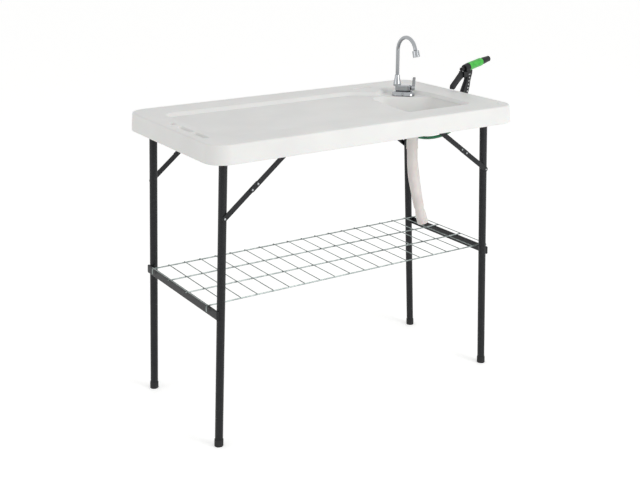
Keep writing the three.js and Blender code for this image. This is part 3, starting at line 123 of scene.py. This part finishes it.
def hose_profile():
    """The hose's outline as distances along it and radii, down its outside and back up its bore."""
    bead = TOP_CUFF_LENGTH - TOP_CUFF_BEAD_LENGTH
    outer = [
        (0, TOP_CUFF_RADIUS - EDGE_ROUNDING), (EDGE_ROUNDING, TOP_CUFF_RADIUS), (bead, TOP_CUFF_RADIUS),
        (bead, TOP_CUFF_RADIUS + SMALL_STEP), (TOP_CUFF_LENGTH, TOP_CUFF_RADIUS + SMALL_STEP),
        (TOP_CUFF_LENGTH, HOSE_RADIUS),
    ]
    start = TOP_CUFF_LENGTH + HOSE_RIB_PITCH
    end = hose_length - END_CUFF_LENGTH - NECK_LENGTH
    ribs = round((end - start) / HOSE_RIB_PITCH)
    for rib in range(ribs):
        for part in range(HOSE_RIB_POINTS):
            distance = start + (rib + part / HOSE_RIB_POINTS) * (end - start) / ribs
            wave = 0.5 + 0.5 * math.cos(part / HOSE_RIB_POINTS * 2 * math.pi)
            outer.append((distance, HOSE_RADIUS - HOSE_RIB_HEIGHT * wave))
    cuff = hose_length - END_CUFF_LENGTH
    shoulder = HOSE_RADIUS - SMALL_STEP
    outer += [
        (end, HOSE_RADIUS - HOSE_RIB_HEIGHT), (end + NECK_TAPER, NECK_RADIUS + EDGE_ROUNDING),
        (cuff - NECK_TAPER, NECK_RADIUS), (cuff, NECK_RADIUS + NECK_LIP), (cuff + SHOULDER_LENGTH, shoulder),
        (cuff + FLARE_START, HOSE_RADIUS + FLARE_RISE), (hose_length - EDGE_ROUNDING, END_CUFF_RADIUS),
        (hose_length, END_CUFF_RADIUS - SMALL_STEP),
    ]
    bore = NECK_RADIUS - HOSE_WALL
    inner = [
        (hose_length, END_CUFF_RADIUS - HOSE_WALL), (cuff + SHOULDER_LENGTH, shoulder - HOSE_WALL), (cuff, bore),
        (TOP_CUFF_LENGTH, bore), (TOP_CUFF_LENGTH * TAIL_SHARE, TAIL_BORE), (0, TAIL_BORE),
    ]
    return outer + inner


def place_on(line, distance):
    """The point at a distance along a line, and the line's direction there."""
    for start, end in zip(line, line[1:]):
        step = (end - start).length
        if distance <= step or end is line[-1]:
            return start.lerp(end, min(distance / step, 1)), (end - start).normalized()
        distance -= step


def hose_ring(distance, radius):
    centre, way = place_on(hose_line, distance)
    side = Vector((0, 1, 0))
    across = side.cross(way).normalized()
    return [
        centre + across * radius * math.cos(turn) + side * radius * math.sin(turn)
        for turn in (step / HOSE_SIDES * 2 * math.pi for step in range(HOSE_SIDES))
    ]


def tube(name, rings):
    """A tube's skin through rings of points, outside and inside: the last ring joins the first."""
    count = len(rings[0])
    points = [point for ring in rings for point in ring]
    faces = []
    for ring in range(len(rings)):
        low = ring * count
        high = (ring + 1) % len(rings) * count
        faces += [
            (low + side, low + (side + 1) % count, high + (side + 1) % count, high + side)
            for side in range(count)
        ]
    mesh = bpy.data.meshes.new(name)
    mesh.from_pydata(points, [], faces)
    shape = bmesh.new()
    shape.from_mesh(mesh)
    bmesh.ops.recalc_face_normals(shape, faces=shape.faces)
    shape.to_mesh(mesh)
    shape.free()
    piece = bpy.data.objects.new(name, mesh)
    bpy.context.scene.collection.objects.link(piece)
    return piece


def smooth(mesh, sharp_degrees):
    """Shades a mesh smooth, but keeps each edge that bends more than the angle sharp."""
    shape = bmesh.new()
    shape.from_mesh(mesh)
    for face in shape.faces:
        face.smooth = True
    for edge in shape.edges:
        edge.smooth = not edge.is_manifold or edge.calc_face_angle(0) < math.radians(sharp_degrees)
    shape.to_mesh(mesh)
    shape.free()


def linear(hex_colour):
    """An sRGB hex colour as the linear colour that a shader takes."""
    parts = [int(hex_colour[place:place + 2], 16) / 255 for place in (1, 3, 5)]
    return [*(part / 12.92 if part < 0.04045 else ((part + 0.055) / 1.055) ** 2.4 for part in parts), 1]


def new_material(name, colour, roughness, metallic=0.0):
    material = bpy.data.materials.new(name)
    material.use_nodes = True
    shader = material.node_tree.nodes["Principled BSDF"]
    shader.inputs["Base Color"].default_value = linear(colour)
    shader.inputs["Roughness"].default_value = roughness
    shader.inputs["Metallic"].default_value = metallic
    return material, shader


def add(material, kind, settings=None, values=None, links=None):
    """Adds one node: its settings by name, its values by socket, and the outputs that feed its sockets."""
    node = material.node_tree.nodes.new(kind)
    for name, value in (settings or {}).items():
        setattr(node, name, value)
    for socket, value in (values or {}).items():
        node.inputs[socket].default_value = value
    for socket, output in (links or {}).items():
        material.node_tree.links.new(output, node.inputs[socket])
    return node


def grain(material, size_mm, detail=2.0):
    """Soft random grain with features of a real size, on the piece's own coordinates."""
    place = add(material, "ShaderNodeTexCoord")
    noise = add(
        material, "ShaderNodeTexNoise",
        values={"Scale": 1000 / size_mm, "Detail": detail}, links={"Vector": place.outputs["Object"]},
    )
    return noise.outputs["Fac"]


def two_tone(material, shader, pattern, first, second, low=0.35, high=0.65):
    """Spreads a pattern over two colours: the first where it is low, the second where it is high."""
    ramp = add(material, "ShaderNodeValToRGB", links={"Fac": pattern})
    ramp.color_ramp.elements[0].position = low
    ramp.color_ramp.elements[0].color = linear(first)
    ramp.color_ramp.elements[1].position = high
    ramp.color_ramp.elements[1].color = linear(second)
    material.node_tree.links.new(ramp.outputs["Color"], shader.inputs["Base Color"])


def rough_between(material, shader, pattern, low, high):
    spread = add(material, "ShaderNodeMapRange", values={"To Min": low, "To Max": high}, links={"Value": pattern})
    material.node_tree.links.new(spread.outputs["Result"], shader.inputs["Roughness"])


drain_hose = tube("drain_hose_ribbed", [hose_ring(*place) for place in hose_profile()])
smooth(drain_hose.data, 60)
hose_plastic, shader = new_material("soft_polypropylene", "#e2dcd8", 0.42)
hose_grain = grain(hose_plastic, 60)
two_tone(hose_plastic, shader, hose_grain, "#dcd5d2", "#e6e1dd")
rough_between(hose_plastic, shader, hose_grain, 0.36, 0.5)
shader.inputs["Subsurface Weight"].default_value = 0.15
shader.inputs["Subsurface Scale"].default_value = 0.004
drain_hose.data.materials.append(hose_plastic)
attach(drain_hose, "table")
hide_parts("drain_hose")

# The spray hose is extruded green PVC tube, dark and glossy with a clear outer skin. It runs from the tee
# under the tap, hangs in one shallow loop and rises to the spray gun's connector. The line leaves both ends
# straight down, pulled as far as SPRAY_PULL says.
SPRAY_RADIUS = 0.0055
SPRAY_PULL = Vector((0, 0, -0.105))
SPRAY_STEPS = 60
tee_end, gun_end = mm(383, 91, 845.4), mm(574, 5, 859.7)
tee_pull, gun_pull = tee_end + SPRAY_PULL, gun_end + SPRAY_PULL
spray_line = [
    tee_end * (1 - t) ** 3 + tee_pull * 3 * t * (1 - t) ** 2 + gun_pull * 3 * t * t * (1 - t) + gun_end * t ** 3
    for t in (step / SPRAY_STEPS for step in range(SPRAY_STEPS + 1))
]
spray_curve = bpy.data.curves.new("spray_hose_tube", "CURVE")
spray_curve.dimensions = "3D"
spray_curve.bevel_depth = SPRAY_RADIUS
spray_curve.bevel_resolution = 6
spray_curve.use_fill_caps = True
spline = spray_curve.splines.new("POLY")
spline.points.add(len(spray_line) - 1)
for point, place in zip(spline.points, spray_line):
    point.co = (*place, 1)
spline.use_smooth = True
spray_hose = bpy.data.objects.new("spray_hose_tube", spray_curve)
bpy.context.scene.collection.objects.link(spray_hose)
green_pvc, shader = new_material("green_pvc_tube", "#08613a", 0.22)
pvc_grain = grain(green_pvc, 30)
two_tone(green_pvc, shader, pvc_grain, "#065433", "#0c6f45")
rough_between(green_pvc, shader, pvc_grain, 0.18, 0.3)
shader.inputs["Coat Weight"].default_value = 0.4
spray_curve.materials.append(green_pvc)
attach(spray_hose, "table")
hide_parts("spray_hose")

# The tabletop is blow-moulded polyethylene, off-white and satin. Its edges are rounded by the mould, and the
# sunken panel's walls run softly into the rim. The mould leaves a fine grain, finer than the 3 mm that it is
# drawn at so that it shows, and the plastic is a little cloudy over some 160 mm.
SAME_POINT = 0.00002
FLAT_DEGREES = 1


def dressed(node, body, material, bevel_mm=0.0, sharp_degrees=38):
    """A piece with the CAD node's own form, rounded at its edges and shaded smooth, that stands for it."""
    shape = bmesh.new()
    shape.from_mesh(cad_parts[node].data)
    bmesh.ops.remove_doubles(shape, verts=shape.verts, dist=SAME_POINT)
    bmesh.ops.dissolve_limit(
        shape, angle_limit=math.radians(FLAT_DEGREES), verts=shape.verts, edges=shape.edges,
    )
    mesh = bpy.data.meshes.new(node + "_finished")
    shape.to_mesh(mesh)
    shape.free()
    piece = bpy.data.objects.new(node + "_finished", mesh)
    bpy.context.scene.collection.objects.link(piece)
    smooth(piece.data, sharp_degrees)
    if bevel_mm:
        bevel = piece.modifiers.new("edges", "BEVEL")
        bevel.width = bevel_mm / 1000
        bevel.segments = 2
        bevel.limit_method = "ANGLE"
        bevel.angle_limit = math.radians(sharp_degrees)
    even = piece.modifiers.new("even_shading", "WEIGHTED_NORMAL")
    even.keep_sharp = True
    bpy.context.view_layer.update()
    rounded = bpy.data.meshes.new_from_object(piece.evaluated_get(bpy.context.evaluated_depsgraph_get()))
    piece.modifiers.clear()
    piece.data = rounded
    piece.data.materials.clear()
    piece.data.materials.append(material)
    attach(piece, body)
    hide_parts(node)
    return piece


def bumps(material, shader, pattern, depth_mm, strength):
    bump = add(
        material, "ShaderNodeBump",
        values={"Distance": depth_mm / 1000, "Strength": strength}, links={"Height": pattern},
    )
    material.node_tree.links.new(bump.outputs["Normal"], shader.inputs["Normal"])


polyethylene, shader = new_material("moulded_polyethylene", "#ececea", 0.45)
mould_grain = grain(polyethylene, 3, detail=4)
cloud = grain(polyethylene, 160)
two_tone(polyethylene, shader, cloud, "#e3e3e1", "#e8e8e6")
rough_between(polyethylene, shader, mould_grain, 0.42, 0.56)
bumps(polyethylene, shader, mould_grain, 0.06, 0.5)
shader.inputs["Subsurface Weight"].default_value = 0.1
shader.inputs["Subsurface Scale"].default_value = 0.006
dressed("tabletop", "table", polyethylene, 0.5, 34)

# Each leg frame is welded from round and flat steel and coated with hammer-finish paint, near black with
# slightly lighter dimples of 3 mm and a dull gloss. Its flat crossbar carries the wire shelf, and its rivets
# have heads of bare steel, a little brushed, which catch the light.
PAINT_EDGE_MM = 0.3
DIMPLE_MM = 3
RIVET_HEAD_MM = 1.6
hammer_paint, shader = new_material("hammer_finish_paint", "#28292b", 0.4, 0.3)
place = add(hammer_paint, "ShaderNodeTexCoord")
dimples = add(
    hammer_paint, "ShaderNodeTexVoronoi", {"feature": "SMOOTH_F1"},
    {"Scale": 1000 / DIMPLE_MM, "Smoothness": 0.6}, {"Vector": place.outputs["Object"]},
)
two_tone(hammer_paint, shader, dimples.outputs["Distance"], "#2c2d2f", "#1c1d1f", 0.15, 0.6)
rough_between(hammer_paint, shader, dimples.outputs["Distance"], 0.34, 0.46)
shader.inputs["Specular IOR Level"].default_value = 0.3
bumps(hammer_paint, shader, dimples.outputs["Distance"], 0.12, 0.5)
plain_steel, shader = new_material("plain_steel", "#a3a6a8", 0.35, 1.0)
steel_grain = grain(plain_steel, 8)
two_tone(plain_steel, shader, steel_grain, "#939698", "#b2b5b7")


def painted(node, body):
    return dressed(node, body, hammer_paint, PAINT_EDGE_MM)


def bright_heads(piece):
    """Leaves bare the rivet heads, which reach furthest to the front or the back of a painted piece."""
    piece.data.materials.append(plain_steel)
    places = [abs(vertex.co.y) for vertex in piece.data.vertices]
    for face in piece.data.polygons:
        if min(places[index] for index in face.vertices) > max(places) - RIVET_HEAD_MM / 1000:
            face.material_index = 1


for side in ("left", "right"):
    for node in ("top_bar", "crossbar"):
        painted(f"{side}_{node}", side + "_frame")
    for node in ("front_leg", "back_leg"):
        bright_heads(painted(f"{side}_{node}", side + "_frame"))

# The feet are caps of moulded rubber, pushed over the ends of the leg tubes. They are black and matt, and
# slightly dusty near the floor.
cap_rubber, shader = new_material("black_rubber_cap", "#1b1b1c", 0.75)
dust = grain(cap_rubber, 6)
two_tone(cap_rubber, shader, dust, "#161617", "#242425")
rough_between(cap_rubber, shader, dust, 0.65, 0.9)
for side in ("left", "right"):
    for node in ("front_foot", "back_foot"):
        dressed(f"{side}_{node}", side + "_frame", cap_rubber, 0.8)

# The braces are stamped flat steel links, painted like the legs, and turn on rivets. Their brackets and
# the hinge brackets under the tabletop are pressed steel with the same dark coat.
for side in ("left", "right"):
    for end in ("front", "back"):
        bright_heads(painted(f"{side}_{end}_upper_link", side + "_upper_links"))
        painted(f"{side}_{end}_lower_link", side + "_lower_links")
        painted(f"{side}_{end}_hinge", "table")
        painted(f"{side}_{end}_brace_bracket", "table")

# The shelf is a grid of steel wire, spot welded where the wires cross and zinc-plated afterwards, which
# leaves it grey, shiny and unevenly clouded, with a slight green tint. Two hooked rails hang it over the
# crossbars.
zinc_plate, shader = new_material("bright_zinc_plate", "#858e8c", 0.32, 1.0)
bloom = grain(zinc_plate, 14)
two_tone(zinc_plate, shader, bloom, "#727b79", "#98a09e")
rough_between(zinc_plate, shader, bloom, 0.24, 0.42)
dressed("wire_shelf", "shelf", zinc_plate, 0.0, 50)

# The drain is brass plated with mirror-bright chrome that has a faint haze: a flange in the basin's floor
# with a lift-out strainer. The chrome's colour is set darker than such chrome, as painted shade that stands in
# for the dark reflections on it. Under the basin, a gasket of matt black rubber seals it and a ring nut of
# satin white nylon holds it.
# Painted shade: this base colour is darker than bright chrome and stands in for the chrome's dark reflections.
chrome, shader = new_material("chrome_with_painted_dark_reflections", "#a8abae", 0.06, 1.0)
haze = grain(chrome, 25)
rough_between(chrome, shader, haze, 0.04, 0.1)
black_rubber, shader = new_material("black_rubber", "#1d1d1e", 0.7)
rubber_grain = grain(black_rubber, 5)
two_tone(black_rubber, shader, rubber_grain, "#171718", "#252526")
white_plastic, shader = new_material("white_nylon", "#e6e6e3", 0.4)
nylon_grain = grain(white_plastic, 9)
two_tone(white_plastic, shader, nylon_grain, "#dededb", "#ebebe8")
dressed("drain_flange", "table", chrome, 0.3)
dressed("strainer", "strainer_body", chrome, 0.2)
dressed("drain_gasket", "table", black_rubber, 0.2)
dressed("drain_nut", "table", white_plastic, 0.6)

# The tap is chromed: a base plate on a gasket, a bar-shaped body with a lever at one end and a flared
# socket at the other, and a swivelling gooseneck bent from tube with an aerator screwed to its end.
# A threaded steel shank holds it from below, with a rubber washer and a nylon nut.
for node in ("tap_base", "tap_body"):
    dressed(node, "table", chrome, 0.4)
dressed("tap_lever", "lever_body", chrome, 0.5)
dressed("spout", "spout_body", chrome, 0.2)
dressed("aerator", "spout_body", chrome, 0.3)
dressed("tap_gasket", "table", black_rubber, 0.1)
dressed("deck_washer", "table", black_rubber, 0.2)
dressed("deck_nut", "table", white_plastic, 0.5)
dressed("tap_shank", "table", plain_steel, 0.4)

# The spray gun is moulded in black nylon, dull with a fine leathery grain that is drawn at 2.5 mm so that it
# shows, with a glossy green ABS sleeve round its barrel. Its trigger pivots on a steel pin, and it plugs
# into the hose connector that stands in a holder screwed to the tabletop's side.
black_nylon, shader = new_material("black_nylon", "#111214", 0.4)
nylon_spark = grain(black_nylon, 2.5, detail=3)
two_tone(black_nylon, shader, nylon_spark, "#0e0f10", "#18191c")
rough_between(black_nylon, shader, nylon_spark, 0.34, 0.55)
shader.inputs["Specular IOR Level"].default_value = 0.3
bumps(black_nylon, shader, nylon_spark, 0.08, 0.4)
green_abs, shader = new_material("green_abs_sleeve", "#35b33a", 0.3)
abs_grain = grain(green_abs, 12)
two_tone(green_abs, shader, abs_grain, "#2da733", "#45c044")
rough_between(green_abs, shader, abs_grain, 0.24, 0.36)
dressed("gun_body", "sprayer", black_nylon, 0.6)
dressed("gun_barrel", "sprayer", green_abs, 1.2)
dressed("gun_pin", "sprayer", plain_steel, 0.3)
dressed("gun_lever", "trigger", black_nylon, 0.8)
dressed("gun_nozzle", "nozzle", black_nylon, 0.6)
dressed("flow_knob", "knob", black_nylon, 0.6)
for node in ("hose_tee", "hose_connector", "spray_holder"):
    dressed(node, "table", black_nylon, 0.5)
for node in ("holder_screw_front", "holder_screw_back"):
    dressed(node, "table", plain_steel, 0.2)

# Six soft buttons of moulded rubber, matt, stand in a row down the grip's front edge. Each is a low round dome
# that faces the front. Their pale grey colour is painted highlight: it stands in for the light that the knobs
# catch.
BUTTONS = 6
BUTTON_RADIUS = 0.003
BUTTON_HEIGHT_SHARE = 0.4
BUTTON_FACING = Vector((0.21, -0.98, 0.04))
BUTTON_RINGS = 10
BUTTON_SIDES = 20
points, faces = [], []
for index in range(BUTTONS):
    turned = BUTTON_FACING.to_track_quat("Z", "Y").to_matrix().to_4x4()
    turned.translation = mm(604 - 2.6 * index, 2.88 - 1.02 * index, 992 - 11.6 * index)
    start = len(points)
    for ring in range(1, BUTTON_RINGS):
        lean = ring / BUTTON_RINGS * math.pi
        for side in range(BUTTON_SIDES):
            turn = side / BUTTON_SIDES * 2 * math.pi
            points.append(turned @ Vector((
                BUTTON_RADIUS * math.sin(lean) * math.cos(turn), BUTTON_RADIUS * math.sin(lean) * math.sin(turn),
                BUTTON_RADIUS * math.cos(lean) * BUTTON_HEIGHT_SHARE,
            )))
    top, bottom = len(points), len(points) + 1
    points += [turned @ Vector((0, 0, end * BUTTON_RADIUS * BUTTON_HEIGHT_SHARE)) for end in (1, -1)]
    last = start + (BUTTON_RINGS - 2) * BUTTON_SIDES
    for side in range(BUTTON_SIDES):
        beside = (side + 1) % BUTTON_SIDES
        faces += [(top, start + side, start + beside), (last + side, bottom, last + beside)]
        for high in range(start, last, BUTTON_SIDES):
            low = high + BUTTON_SIDES
            faces.append((high + side, low + side, low + beside, high + beside))
button_mesh = bpy.data.meshes.new("grip_buttons")
button_mesh.from_pydata(points, [], faces)
for face in button_mesh.polygons:
    face.use_smooth = True
grip_buttons = bpy.data.objects.new("grip_buttons", button_mesh)
bpy.context.scene.collection.objects.link(grip_buttons)
# Painted highlight: the buttons' pale grey stands in for the light caught on the grip's knobs.
rubber_painted_highlight, shader = new_material("pale_rubber_painted_highlight", "#b9bcbb", 0.55)
button_grain = grain(rubber_painted_highlight, 4)
two_tone(rubber_painted_highlight, shader, button_grain, "#adb0af", "#c6c9c8")
button_mesh.materials.append(rubber_painted_highlight)
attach(grip_buttons, "sprayer")

# The stand is photographed on a plain pale floor, in an even pale surround. The camera and shiny or clear
# pieces see both as white, through the floor's own glow and the surround's full strength, and neither adds
# light to the stand by that.
FLOOR_REACH = 30
FLOOR_GLOW = 0.35
SURROUND_LIGHT = 0.7
SURROUND_WHITE = 1.0


def shown_white(material_or_world):
    """1 for a ray by which the camera, metal or clear plastic sees the background, and 0 for any other."""
    rays = add(material_or_world, "ShaderNodeLightPath")
    first = add(material_or_world, "ShaderNodeMath", {"operation": "MAXIMUM"}, links={
        0: rays.outputs["Is Camera Ray"], 1: rays.outputs["Is Glossy Ray"],
    })
    both = add(material_or_world, "ShaderNodeMath", {"operation": "MAXIMUM"}, links={
        0: first.outputs[0], 1: rays.outputs["Is Transmission Ray"],
    })
    return both.outputs[0]


floor_corners = [(x * FLOOR_REACH, y * FLOOR_REACH, 0) for x, y in ((-1, -1), (1, -1), (1, 1), (-1, 1))]
floor_mesh = bpy.data.meshes.new("floor")
floor_mesh.from_pydata(floor_corners, [], [(0, 1, 2, 3)])
floor = bpy.data.objects.new("floor", floor_mesh)
bpy.context.scene.collection.objects.link(floor)
floor_paint, shader = new_material("pale_floor", "#f4f4f3", 0.9)
shader.inputs["Specular IOR Level"].default_value = 0.1
glow = add(
    floor_paint, "ShaderNodeMapRange", values={"To Min": 0.0, "To Max": FLOOR_GLOW},
    links={"Value": shown_white(floor_paint)},
)
floor_paint.node_tree.links.new(glow.outputs["Result"], shader.inputs["Emission Strength"])
shader.inputs["Emission Color"].default_value = (1, 1, 1, 1)
floor_mesh.materials.append(floor_paint)

world = bpy.data.worlds.new("surround")
bpy.context.scene.world = world
world.use_nodes = True
strength = add(
    world, "ShaderNodeMapRange", values={"To Min": SURROUND_LIGHT, "To Max": SURROUND_WHITE},
    links={"Value": shown_white(world)},
)
background = world.node_tree.nodes["Background"]
world.node_tree.links.new(strength.outputs["Result"], background.inputs["Strength"])
background.inputs["Color"].default_value = (1, 1, 1, 1)

# Two large square lamps give the soft studio light. The stronger one stands in front and to the right, and
# brightens the rim's front. The weaker one fills the left end.
LAMP_SIZE = 2.0
LIT_PLACE = Vector((0, 0, 0.7))
for name, lamp_place, power in (
    ("front_lamp", Vector((1.5, -3.9, 2.0)), 66), ("left_lamp", Vector((-4.5, 0.2, 1.4)), 16),
):
    lamp_data = bpy.data.lights.new(name, "AREA")
    lamp_data.size = LAMP_SIZE
    lamp_data.energy = power
    lamp = bpy.data.objects.new(name, lamp_data)
    lamp.location = lamp_place
    lamp.rotation_euler = (LIT_PLACE - lamp_place).to_track_quat("-Z", "Y").to_euler()
    bpy.context.scene.collection.objects.link(lamp)
bpy.context.scene.view_settings.view_transform = "Standard"
